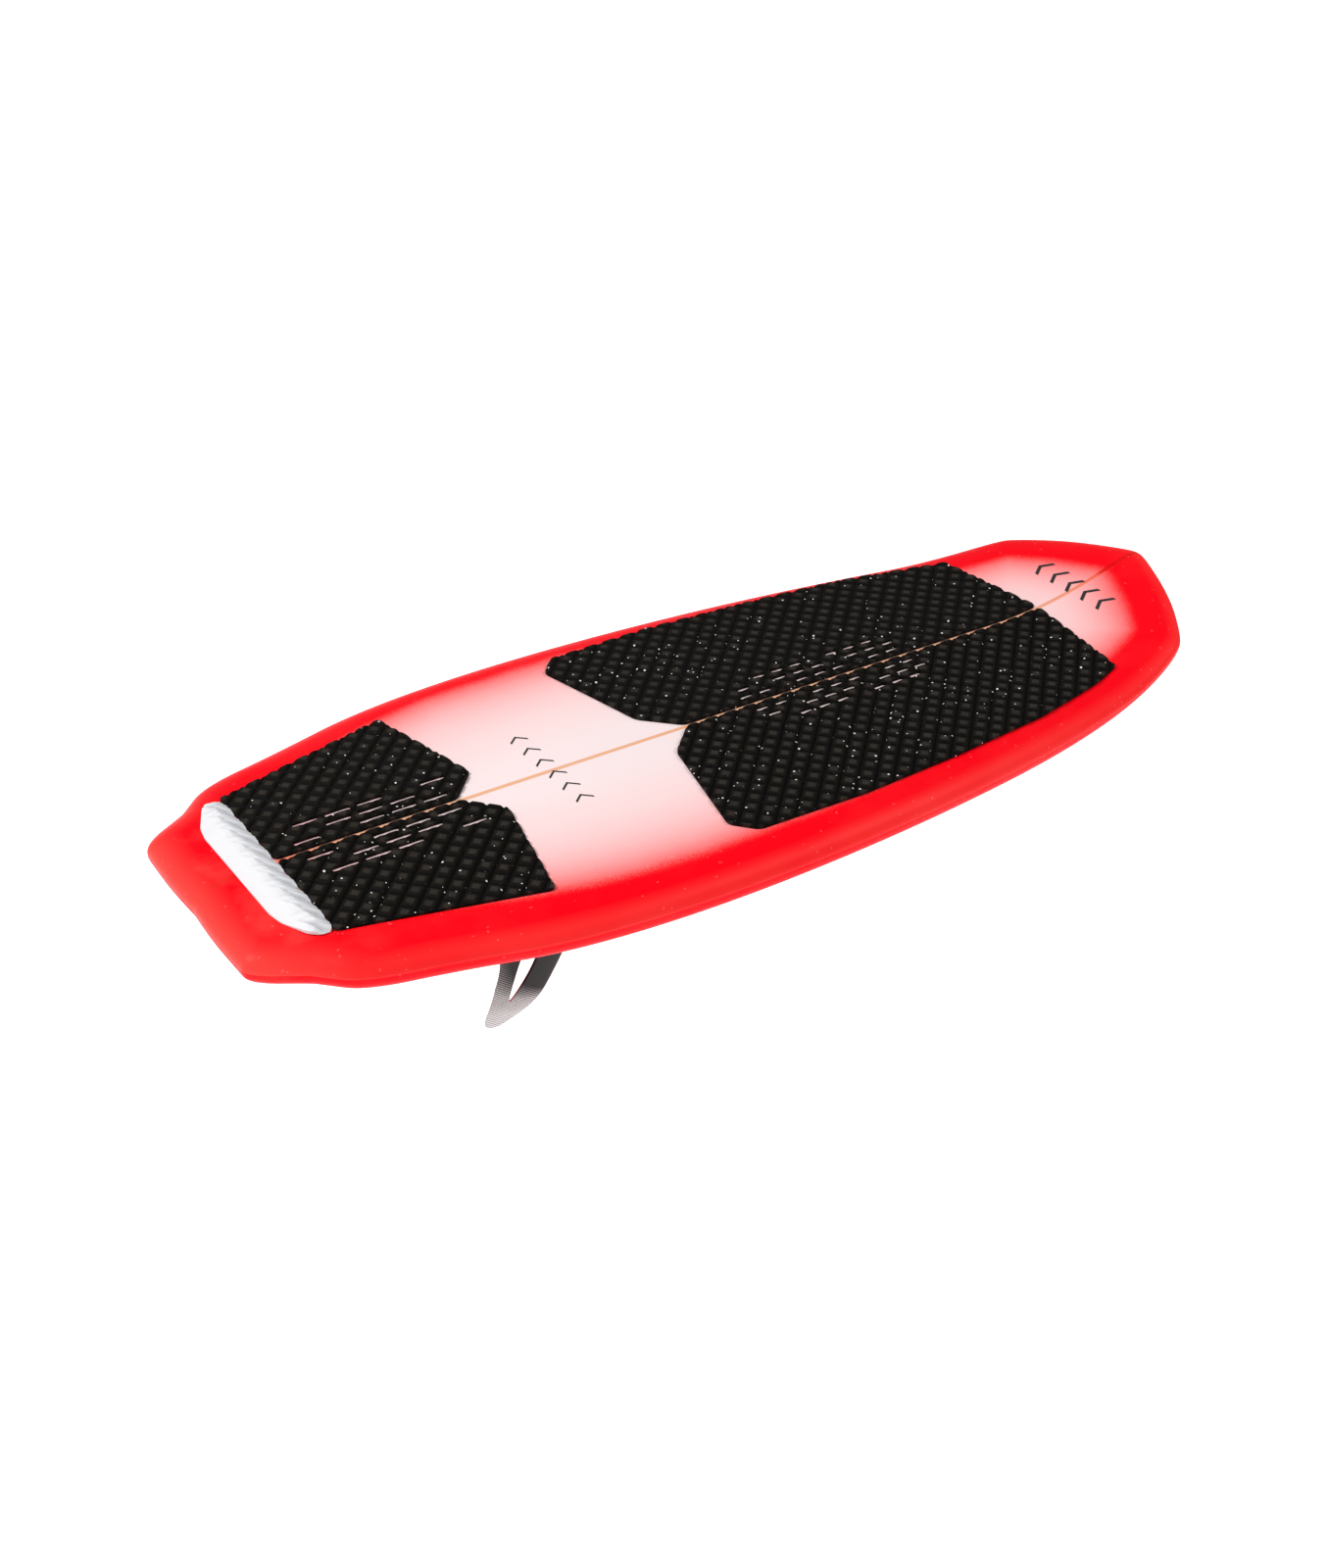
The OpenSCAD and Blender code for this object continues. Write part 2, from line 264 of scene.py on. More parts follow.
def anticlockwise(poly):
    x, y = np.array(poly).T
    return poly if (x * np.roll(y, -1) - y * np.roll(x, -1)).sum() > 0 else poly[::-1]


# ---- materials -----------------------------------------------------------------------
class Mat:
    """A small helper that lays out one Principled material."""

    def __init__(self, name, **sockets):
        self.m = bpy.data.materials.new(name)
        self.m.use_nodes = True
        self.t = self.m.node_tree
        self.b = self.t.nodes["Principled BSDF"]
        self.pos = self.node("ShaderNodeTexCoord").outputs["Object"]
        for k, v in sockets.items():
            self.b.inputs[k.replace("_", " ")].default_value = v

    def node(self, kind, **props):
        n = self.t.nodes.new(kind)
        for k, v in props.items():
            setattr(n, k, v)
        return n

    def link(self, a, b):
        self.t.links.new(a, b)

    def math(self, op, a, b=None, c=None, clamp=False):
        n = self.node("ShaderNodeMath", operation=op, use_clamp=clamp)
        for s, v in zip(n.inputs, (a, b, c)):
            if v is None:
                continue
            if isinstance(v, (int, float)):
                s.default_value = v
            else:
                self.link(v, s)
        return n.outputs[0]

    def noise(self, scale, detail=3.0, rough=0.5, vector=None):
        n = self.node("ShaderNodeTexNoise")
        n.inputs["Scale"].default_value = scale
        n.inputs["Detail"].default_value = detail
        n.inputs["Roughness"].default_value = rough
        self.link(vector or self.pos, n.inputs["Vector"])
        return n.outputs["Fac"]

    def voronoi(self, scale, out="Distance", feature="F1"):
        n = self.node("ShaderNodeTexVoronoi", feature=feature)
        n.inputs["Scale"].default_value = scale
        self.link(self.pos, n.inputs["Vector"])
        return n.outputs[out]

    def wave(self, scale, vector=None, direction="X"):
        n = self.node("ShaderNodeTexWave", bands_direction=direction)
        n.inputs["Scale"].default_value = scale
        self.link(vector or self.pos, n.inputs["Vector"])
        return n.outputs["Fac"]

    def turned(self, degrees, axis="Z", scale=(1, 1, 1)):
        n = self.node("ShaderNodeMapping")
        n.inputs["Rotation"].default_value["XYZ".index(axis)] = math.radians(degrees)
        n.inputs["Scale"].default_value = scale
        self.link(self.pos, n.inputs["Vector"])
        return n.outputs["Vector"]

    def ramp(self, fac, stops):
        n = self.node("ShaderNodeValToRGB")
        els = n.color_ramp.elements
        while len(els) < len(stops):
            els.new(0.5)
        for e, (p, c) in zip(els, stops):
            e.position = p
            e.color = (*c, 1)
        self.link(fac, n.inputs["Fac"])
        return n.outputs["Color"]

    def mix(self, fac, a, b, blend="MIX"):
        n = self.node("ShaderNodeMix", data_type="RGBA", blend_type=blend)
        for s, v in ((n.inputs[0], fac), (n.inputs[6], a), (n.inputs[7], b)):
            if isinstance(v, tuple):
                s.default_value = (*v, 1)
            elif isinstance(v, (int, float)):
                s.default_value = v
            else:
                self.link(v, s)
        return n.outputs[2]

    def split(self, vector=None):
        n = self.node("ShaderNodeSeparateXYZ")
        self.link(vector or self.pos, n.inputs[0])
        return n.outputs

    def bump(self, height, distance, strength=1.0, after=None):
        n = self.node("ShaderNodeBump")
        n.inputs["Distance"].default_value = distance
        n.inputs["Strength"].default_value = strength
        self.link(height, n.inputs["Height"])
        if after is not None:
            self.link(after, n.inputs["Normal"])
        return n.outputs["Normal"]

    def colour(self, c):
        self.link(c, self.b.inputs["Base Color"])
        return self

    def rough(self, r):
        self.link(r, self.b.inputs["Roughness"])
        return self

    def normal(self, n):
        self.link(n, self.b.inputs["Normal"])
        return self

    def ranged(self, fac, lo, hi):
        n = self.node("ShaderNodeMapRange")
        n.inputs["To Min"].default_value = lo
        n.inputs["To Max"].default_value = hi
        self.link(fac, n.inputs["Value"])
        return n.outputs["Result"]


def hex_rgb(r, g, b):
    """0 to 255 display values as linear light."""
    return tuple((v / 255 / 12.92) if v / 255 <= 0.04045 else ((v / 255 + 0.055) / 1.055) ** 2.4
                 for v in (r, g, b))


RED = hex_rgb(250, 0, 22)
RED_LIGHT = hex_rgb(255, 30, 40)


def paint_material(name, deck):
    m = Mat(name, Roughness=0.45, Coat_Weight=0.015, Coat_Roughness=0.2, Specular_IOR_Level=0.045)
    x, y, _ = m.split()
    mottle = m.noise(9, 4, 0.55)
    fine = m.noise(900, 2, 0.6)
    if deck:
        att = m.node("ShaderNodeAttribute", attribute_name="edge_way")
        # overspray: the border of the fade is grainy and wanders a little
        way = m.math("ADD", att.outputs["Fac"],
                     m.math("MULTIPLY", m.math("SUBTRACT", fine, 0.5), 0.028))
        way = m.math("ADD", way, m.math("MULTIPLY", m.math("SUBTRACT", mottle, 0.5), 0.012))
        # the red border is wider round the nose and round the tail
        aft = m.math("DIVIDE", m.math("SUBTRACT", 0.40 - HALF_LEN, x), 0.35, clamp=True)
        fore = m.math("DIVIDE", m.math("SUBTRACT", x, 0.85 - HALF_LEN), 0.35, clamp=True)
        way = m.math("SUBTRACT", way, m.math("ADD", m.math("MULTIPLY", aft, 0.030),
                                             m.math("MULTIPLY", fore, 0.013)))
        fade = m.math("DIVIDE", way, 0.30, clamp=True)
        col = m.ramp(fade, [
            (0.0, RED), (0.145, RED), (0.168, hex_rgb(255, 70, 72)),
            (0.200, hex_rgb(255, 120, 120)), (0.267, hex_rgb(254, 160, 160)),
            (0.34, hex_rgb(253, 184, 184)), (0.42, hex_rgb(250, 200, 200)),
            (0.55, hex_rgb(247, 214, 214)), (0.80, hex_rgb(244, 225, 225))])
        off = m.math("ABSOLUTE", y)
        grain = m.noise(60, 4, 0.6, m.turned(0, scale=(0.05, 1, 1)))
        edge = m.math("ADD", 0.0024, m.math("MULTIPLY", grain, 0.0008))
        line = m.math("SUBTRACT", 1.0,
                      m.math("DIVIDE", m.math("SUBTRACT", off, edge), 0.0007, clamp=True),
                      clamp=True)
        tan = m.mix(grain, hex_rgb(238, 176, 120), hex_rgb(246, 200, 150))
        tint = m.mix(1.0, col, tan, "MULTIPLY")
        col = m.mix(m.math("MULTIPLY", line, 0.85), col, tint)
        line_red = m.math("MULTIPLY", line, m.math("LESS_THAN", way, 0.06))
        col = m.mix(m.math("MULTIPLY", line_red, 0.7), col, hex_rgb(218, 8, 14))
    else:
        col = m.mix(m.ranged(mottle, 0.0, 0.6), RED, RED_LIGHT)
    specks = m.math("GREATER_THAN", m.voronoi(420, "Color"), 0.93)
    col = m.mix(m.math("MULTIPLY", specks, 0.06), col, (1, 0.75, 0.75))
    # paler red: faint random patches here and there, and a painted highlight strongest round the
    # tail, where the key lamp falls
    pale_tone_and_sheen = m.math("DIVIDE", m.math("SUBTRACT", mottle, 0.46), 0.16, clamp=True)
    tail = m.math("DIVIDE", m.math("SUBTRACT", 0.16 - HALF_LEN, x), 0.16, clamp=True)
    pale_tone_and_sheen = m.math("MULTIPLY", pale_tone_and_sheen, m.math("ADD", 0.10, m.math("MULTIPLY", tail, 0.9)))
    pale_tone_and_sheen = m.math("MULTIPLY", pale_tone_and_sheen, m.ranged(fine, 0.55, 1.0))
    if deck:
        # painted highlight on the aft shoulder, the palest red of all
        aft_shoulder_highlight = m.math("SUBTRACT", 1.0, m.math("DIVIDE", att.outputs["Fac"], 0.040, clamp=True))
        aft_shoulder_highlight = m.math("MULTIPLY", m.math("MULTIPLY", aft_shoulder_highlight, tail), m.ranged(fine, 0.5, 1.0))
        pale_tone_and_sheen = m.math("MAXIMUM", pale_tone_and_sheen, m.math("MULTIPLY", aft_shoulder_highlight, 1.4, clamp=True))
        # painted reflection of the pale floor: a light salmon band along the whole rail
        rail_reflection = m.math("DIVIDE", m.math("SUBTRACT", 0.022, att.outputs["Fac"]), 0.016, clamp=True)
        pale_tone_and_sheen = m.math("MAXIMUM", pale_tone_and_sheen, m.math("MULTIPLY", rail_reflection, m.ranged(mottle, 0.05, 0.75)))
    col = m.mix(m.math("MULTIPLY", pale_tone_and_sheen, 0.62), col, m.mix(1.0, col, hex_rgb(92, 86, 72), "ADD"))
    m.colour(col)
    m.rough(m.ranged(m.noise(35, 3), 0.30, 0.46))
    weave = m.math("MULTIPLY", m.wave(260, m.turned(0)), m.wave(260, m.turned(0), "Y"))
    n = m.bump(weave, 0.00003, 0.35)
    n = m.bump(m.noise(160, 3), 0.00012, 0.4, n)
    m.normal(m.bump(m.noise(14, 2), 0.0008, 0.35, n))
    return m.m


def pad_material():
    m = Mat("pad_foam", Roughness=0.7, Specular_IOR_Level=0.06)
    cell = m.noise(420, 4, 0.65)
    body = m.mix(m.ranged(cell, 0, 1), hex_rgb(9, 8, 6), hex_rgb(31, 26, 22))
    patchy = m.noise(22, 3)
    body = m.mix(m.ranged(patchy, 0, 0.4), body, hex_rgb(15, 12, 9))
    # painted shade darkens the diamond grooves, and a painted highlight lightens the flat tops of
    # the tiles
    x, y, _ = m.split()
    lines, tops = [], []
    for sign in (1, -1):
        u = m.math("DIVIDE", m.math("ADD", m.math("ADD", x, HALF_LEN),
                                    m.math("MULTIPLY", y, sign)), GROOVE * math.sqrt(2))
        f = m.math("FRACT", m.math("ADD", u, 0.5))
        f = m.math("MULTIPLY", m.math("ABSOLUTE", m.math("SUBTRACT", f, 0.5)), GROOVE)
        lines.append(m.math("SUBTRACT", 1.0, m.math("DIVIDE", f, 0.0036, clamp=True)))
        tops.append(m.math("DIVIDE", m.math("SUBTRACT", f, 0.0052), 0.0016, clamp=True))
    flat = m.math("MULTIPLY", m.math("MULTIPLY", *tops), m.ranged(m.noise(26, 2), 0.35, 1.0))
    body = m.mix(m.math("MULTIPLY", flat, 0.60), body, hex_rgb(66, 61, 56))
    groove = m.math("MAXIMUM", *lines)
    body = m.mix(m.math("MULTIPLY", m.math("POWER", groove, 0.7), 0.95), body, (0.0006,) * 3)
    # coarse flecks of light foam in the black
    fleck_n = m.node("ShaderNodeTexVoronoi")
    fleck_n.inputs["Scale"].default_value = 128
    m.link(m.pos, fleck_n.inputs["Vector"])
    pick = m.node("ShaderNodeSeparateColor")
    m.link(fleck_n.outputs["Color"], pick.inputs[0])
    crowd = m.math("MULTIPLY", m.noise(11, 2), 0.9)
    chosen = m.math("GREATER_THAN", m.math("ADD", pick.outputs[0], crowd), 1.06)
    size = m.math("LESS_THAN", fleck_n.outputs["Distance"],
                  m.ranged(pick.outputs[1], 0.02, 0.20))
    fleck = m.math("MULTIPLY", chosen, size)
    tiny = m.math("LESS_THAN", m.voronoi(260), 0.10)
    tiny = m.math("MULTIPLY", tiny, m.math("GREATER_THAN", m.noise(40, 2), 0.56))
    body = m.mix(fleck, body, hex_rgb(226, 224, 222))
    body = m.mix(m.math("MULTIPLY", tiny, 0.5), body, hex_rgb(120, 118, 116))
    m.colour(body)
    m.rough(m.ranged(cell, 0.50, 0.74))
    brushed = m.noise(700, 2, 0.5, m.turned(45, scale=(1, 0.12, 1)))
    n = m.bump(brushed, 0.0003, 0.5)
    m.normal(m.bump(cell, 0.0004, 0.6, n))
    return m.m


def kick_material():
    m = Mat("kick_foam", Roughness=0.6, IOR=1.45)
    cell = m.noise(380, 4, 0.6)
    col = m.mix(m.ranged(cell, 0, 0.5), hex_rgb(233, 233, 235), hex_rgb(220, 220, 223))
    col = m.mix(m.ranged(m.noise(40, 3), 0, 0.25), col, hex_rgb(210, 211, 217))
    # painted shade in the folds of the crest and down its front, from the fold attribute
    fold = m.node("ShaderNodeAttribute", attribute_name="fold").outputs["Fac"]
    col = m.mix(m.math("MULTIPLY", fold, 0.8, clamp=True), col, hex_rgb(118, 120, 130))
    m.colour(col).rough(m.ranged(cell, 0.5, 0.7))
    m.normal(m.bump(cell, 0.0003, 0.5))
    return m.m


def plain_material(name, a, b, rough=(0.35, 0.55), scale=300, bump=0.0002, **sockets):
    m = Mat(name, **sockets)
    n = m.noise(scale, 4, 0.6)
    m.colour(m.mix(m.ranged(n, 0, 1), a, b)).rough(m.ranged(m.noise(scale / 6), *rough))
    m.normal(m.bump(n, bump, 0.5))
    return m.m


def fin_material():
    m = Mat("fin_composite", Roughness=0.34, Coat_Weight=0.06, Coat_Roughness=0.12,
            Specular_IOR_Level=0.18)
    x, _, z = m.split()
    deep = m.math("DIVIDE", m.math("MULTIPLY", z, -1.0), FIN_DEPTH, clamp=True)
    aft = m.math("DIVIDE", m.math("SUBTRACT", FIN_X - HALF_LEN + 0.012, x), 0.075, clamp=True)
    # printed slanted bars over a faint mesh, thicker aft and towards the tip
    cells = m.voronoi(430, "Distance", "DISTANCE_TO_EDGE")
    rows = m.wave(128, m.turned(-38, "Y"), "Z")
    amount = m.math("MULTIPLY", m.math("POWER", deep, 4.2), 1.25, clamp=True)
    amount = m.math("ADD", m.math("MULTIPLY", amount, 0.80), m.math("MULTIPLY", aft, 0.50),
                    clamp=True)
    width = m.math("MULTIPLY", amount, 0.95)
    bars = m.math("GREATER_THAN", width, m.math("MULTIPLY", rows, 1.06))
    mesh = m.math("GREATER_THAN", m.math("MULTIPLY", amount, 0.20), cells)
    ink = m.math("MAXIMUM", bars, m.math("MULTIPLY", mesh, 0.25))
    black = m.mix(m.ranged(m.noise(90), 0, 1), hex_rgb(12, 11, 11), hex_rgb(26, 24, 24))
    pale = m.mix(deep, hex_rgb(176, 174, 174), hex_rgb(224, 223, 223))
    start = m.math("MULTIPLY", m.math("SUBTRACT", amount, 0.34), 4.0, clamp=True)
    m.colour(m.mix(m.math("MULTIPLY", ink, start), black, pale))
    m.rough(m.ranged(m.noise(60), 0.22, 0.40))
    m.normal(m.bump(m.noise(200, 3), 0.0001, 0.3))
    return m.m


def steel_material():
    m = Mat("screw_steel", Metallic=1.0, Roughness=0.3)
    n = m.noise(1400, 2, 0.5, m.turned(30, "X", (1, 1, 0.1)))
    m.colour(m.mix(m.ranged(n, 0, 1), hex_rgb(178, 178, 180), hex_rgb(212, 212, 214)))
    m.rough(m.ranged(n, 0.22, 0.42)).normal(m.bump(n, 0.00004, 0.5))
    return m.m


def timber_material():
    m = Mat("timber", Roughness=0.6)
    g = m.noise(70, 6, 0.65, m.turned(0, scale=(0.06, 1, 1)))
    m.colour(m.ramp(g, [(0.3, hex_rgb(176, 128, 78)), (0.7, hex_rgb(222, 184, 134))]))
    m.normal(m.bump(g, 0.0003, 0.5))
    return m.m


def foam_core_material():
    m = Mat("foam_core", Roughness=0.85)
    bead = m.voronoi(260)
    m.colour(m.ramp(bead, [(0.0, hex_rgb(250, 250, 246)), (0.6, hex_rgb(226, 226, 220))]))
    m.normal(m.bump(bead, 0.0008, 0.6))
    return m.m


DECK_PAINT = paint_material("deck_paint", True)
HULL_PAINT = paint_material("hull_paint", False)
PAD = pad_material()
KICK = kick_material()
FIN = fin_material()
BOX = plain_material("box_plastic", hex_rgb(22, 22, 24), hex_rgb(40, 40, 43), (0.4, 0.6), 500)
STEEL = steel_material()
VINYL = plain_material("vinyl_mark", hex_rgb(16, 14, 14), hex_rgb(34, 30, 30), (0.25, 0.4), 260,
                       0.00005, Coat_Weight=0.4)

# ---- camera, before the pieces -------------------------------------------------------
CAM_AT = (-1.36569, -1.82211, 1.41209)
CAM_AIM = (0.48276, 0.68853, -0.54117)
CAM_TOP = (0.2828, 0.46228, 0.84043)
CAM_LENS, CAM_SENSOR = 48.78, 36

cam = bpy.data.objects.new("camera", bpy.data.cameras.new("camera"))
bpy.context.scene.collection.objects.link(cam)
aim = Vector(CAM_AIM).normalized()
top = Vector(CAM_TOP)
right = aim.cross(top).normalized()
top = right.cross(aim)
turn = Matrix((right, top, -aim)).transposed()
cam.matrix_world = Matrix.Translation(CAM_AT) @ turn.to_4x4()
cam.data.sensor_width = CAM_SENSOR
cam.data.lens = CAM_LENS
cam.data.clip_end = 100
bpy.context.scene.camera = cam

# ---- deck and bottom skins -----------------------------------------------------------
SHOULDER_STEPS = SHOULDER * (np.linspace(0, 1, 19) ** 2.0)


def hull_sheet(name, up):
    s = np.stack([SPINE, np.full(len(SPINE), HALF_ST)], 1)
    r = np.linalg.norm(s - EDGE, axis=1)
    u = (s - EDGE) / r[:, None]
    inner = np.linspace(0, 1, 8)[1:]
    e = np.concatenate([np.tile(SHOULDER_STEPS, (len(r), 1)),
                        SHOULDER + (r[:, None] - SHOULDER) * inner], 1)
    p = EDGE[:, None] + u[:, None] * e[..., None]
    z = hull_height(p[..., 0], p[..., 1], e, up)
    half = np.stack([p[..., 0] - HALF_LEN, p[..., 1], z], -1)
    n, m = half.shape[:2]
    full = np.concatenate([half, half[:, ::-1] * (1, -1, 1)], 1)
    faces = grid_faces(n, 2 * m, turn=not up)
    wide = 2 * m
    # a narrow strip joins the two halves at the tail and at the nose
    for base, flip in ((0, False), ((n - 1) * wide, True)):
        for j in range(m - 1):
            f = (base + j, base + j + 1, base + wide - 2 - j, base + wide - 1 - j)
            faces.append(f if flip != up else f[::-1])
    ob = add_mesh(name, full.reshape(-1, 3), faces)
    v = full.reshape(-1, 3)
    way = edge_distance(v[:, 0] + HALF_LEN, v[:, 1])
    att = ob.data.attributes.new("edge_way", "FLOAT", "POINT")
    att.data.foreach_set("value", way.astype(np.float32))
    bm = bmesh.new()
    bm.from_mesh(ob.data)
    bmesh.ops.recalc_face_normals(bm, faces=bm.faces)
    up_now = sum(f.normal.z * f.calc_area() for f in bm.faces) > 0
    if up_now != up:
        bmesh.ops.reverse_faces(bm, faces=bm.faces)
    bm.to_mesh(ob.data)
    bm.free()
    sol = ob.modifiers.new("skin", "SOLIDIFY")
    sol.thickness, sol.offset = SKIN, -1
    return bake(ob)


def fin_frame(side):
    """Places something made at the middle of a fin base on the port or starboard side."""
    place = Matrix.Translation((FIN_X - HALF_LEN, FIN_Y, 0)) @ Matrix.Rotation(-FIN_TOE, 4, "Z")
    return (Matrix.Scale(-1, 4, (0, 1, 0)) if side < 0 else Matrix.Identity(4)) @ place


def settle(ob, matrix):
    """Moves an object's mesh by a matrix, keeping its faces outwards if it mirrors."""
    ob.data.transform(matrix)
    if matrix.determinant() < 0:
        ob.data.flip_normals()
    return ob


deck = hull_sheet("deck_shell", True)
deck.data.materials.append(DECK_PAINT)
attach(deck, "board"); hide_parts("deck_skin")

# the round-ended holes in the bottom skin that the fin boxes stand in
BOX_HOLE_R, BOX_HOLE_RUN = 0.01365, 0.056 - 0.0135

bottom = hull_sheet("bottom_shell", False)
for side in (1, -1):
    a = np.linspace(-math.pi / 2, math.pi / 2, 25)
    ring = [(BOX_HOLE_RUN + BOX_HOLE_R * math.cos(t), BOX_HOLE_R * math.sin(t)) for t in a]
    ring += [(-BOX_HOLE_RUN - BOX_HOLE_R * math.cos(t), -BOX_HOLE_R * math.sin(t)) for t in a]
    tool = settle(prism("box_cut", ring, -0.01, 0.02), fin_frame(side))
    cut(bottom, tool)
smooth_by_angle(bottom, 50)
coat(bottom, HULL_PAINT)
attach(bottom, "board"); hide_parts("bottom_skin")

# ---- grooved foot pads ---------------------------------------------------------------
GROOVE_W, GROOVE_D = 0.0034, 0.0032
SLOPE_W, SLOPE_D = 0.0064, 0.0011
SLOT_W = 0.0075
SLOT_SHADE = 0.006       # how far from a slot the grooves grow shallow
PAD_CORNER, KICK_CORNER = 0.007, 0.005
CUT_LO, CUT_HI = -0.05, 0.3          # heights that any plan cut passes right through
LATTICE = np.array([0, GROOVE_W * 0.45, GROOVE_W, SLOPE_W, GROOVE / 2, GROOVE - SLOPE_W,
                    GROOVE - GROOVE_W, GROOVE - GROOVE_W * 0.45])


def lattice_lines(lo, hi):
    k = np.arange(math.floor(lo / GROOVE), math.ceil(hi / GROOVE) + 1)
    v = (k[:, None] * GROOVE + LATTICE).ravel()
    return v[(v >= lo - GROOVE) & (v <= hi + GROOVE)]


def groove_depth(u):
    """How far the surface lies below the tile tops; 0 on a tile, full in a groove."""
    f = np.abs((u / GROOVE + 0.5) % 1 - 0.5) * GROOVE
    steep = (GROOVE_D - SLOPE_D) * np.clip(1 - f / GROOVE_W, 0, 1) ** 0.85
    return steep + SLOPE_D * np.clip(1 - f / SLOPE_W, 0, 1)


def near_slots(x, y, slots):
    """1 beside a drain slot, falling to 0 well away from every one."""
    out = np.full(np.shape(x), 1.0)
    for sx, sy, run in slots:
        dx = np.clip(np.abs(x - sx) - run / 2, 0, None)
        dy = np.clip(np.abs(y - sy) - SLOT_W / 2, 0, None)
        out = np.minimum(out, np.hypot(dx, dy) / SLOT_SHADE)
    return 1 - out


def pad(name, plan, slots, side):
    poly = np.array(plan, float)
    uu = (poly[:, 0] + poly[:, 1]) / math.sqrt(2)
    vv = (poly[:, 0] - poly[:, 1]) / math.sqrt(2)
    us, vs = lattice_lines(uu.min(), uu.max()), lattice_lines(vv.min(), vv.max())
    u, v = np.meshgrid(us, vs, indexing="ij")
    x, y = (u + v) / math.sqrt(2), (u - v) / math.sqrt(2)
    xs = np.clip(x, poly[:, 0].min() - 0.01, poly[:, 0].max() + 0.01)
    ys = np.clip(y, -0.02, 0.245)
    z = deck_z(xs, np.abs(ys)) + GLUE
    # each tile slopes up from its grooves to a small flat top
    drop = np.maximum(groove_depth(u), groove_depth(v) * 0.7)
    drop = drop * (1 - 0.75 * near_slots(x, y, slots))
    top_z = z + PAD_T - drop
    ob = closed_sheet(name, x, y, top_z, z)
    face_outwards(ob)
    shape = anticlockwise(rounded(poly - (HALF_LEN, 0), PAD_CORNER))
    cut(ob, prism("plan", shape, CUT_LO, CUT_HI), "INTERSECT")
    tools = []
    for sx, sy, run in slots:
        w = SLOT_W / 2
        ring = [(sx - run / 2, sy - w), (sx + run / 2, sy - w), (sx + run / 2, sy + w),
                (sx - run / 2, sy + w)]
        tools.append(prism("slot", [(p - HALF_LEN, q) for p, q in ring],
                           CUT_LO, CUT_HI))
    verts, faces = [], []
    for t in tools:
        base = len(verts)
        verts += [tuple(q.co) for q in t.data.vertices]
        faces += [tuple(base + i for i in p.vertices) for p in t.data.polygons]
        bpy.data.objects.remove(t)
    cut(ob, add_mesh("slots", verts, faces, smooth=False))
    if side < 0:
        settle(ob, Matrix.Scale(-1, 4, (0, 1, 0)))
    smooth_by_angle(ob, 22)
    coat(ob, PAD)
    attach(ob, "board"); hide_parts(name.replace("grooved_", ""))
    return ob


FRONT = [(0.652, PAD_GAP / 2), (0.608, 0.045), (0.572, 0.203), (0.598, 0.230), (0.750, 0.234),
         (0.900, 0.226), (1.050, 0.212), (1.110, 0.200), (1.170, 0.187), (1.216, 0.172),
         (1.234, PAD_GAP / 2)]
REAR = [(0.101, PAD_GAP / 2), (0.101, 0.132), (0.098, 0.148), (0.337, 0.209), (0.373, 0.045),
        (0.333, PAD_GAP / 2)]
front_slots = [(0.750 + 0.0293 * k + 0.007 * r, 0.017 * r, 0.020)
               for r in (1, 2, 3) for k in range(9) if (k + r) % 4 != 3]
rear_slots = [(0.140 + 0.041 * k + 0.007 * r, 0.017 * r, 0.033)
              for r in (1, 2, 3) for k in range(5) if (k + r) % 4 != 2]
for word, side in (("left", 1), ("right", -1)):
    pad("grooved_front_pad_" + word, FRONT, front_slots, side)
    pad("grooved_rear_pad_" + word, REAR, rear_slots, side)

# ---- tail kick -----------------------------------------------------------------------
KICK_PLAN = [(0.053, -0.084), (0.053, 0.084), (0.057, 0.105), (0.073, 0.137), (0.084, 0.146),
             (0.097, 0.147), (0.100, 0.132), (0.100, -0.132), (0.097, -0.147),
             (0.084, -0.146), (0.073, -0.137), (0.057, -0.105)]


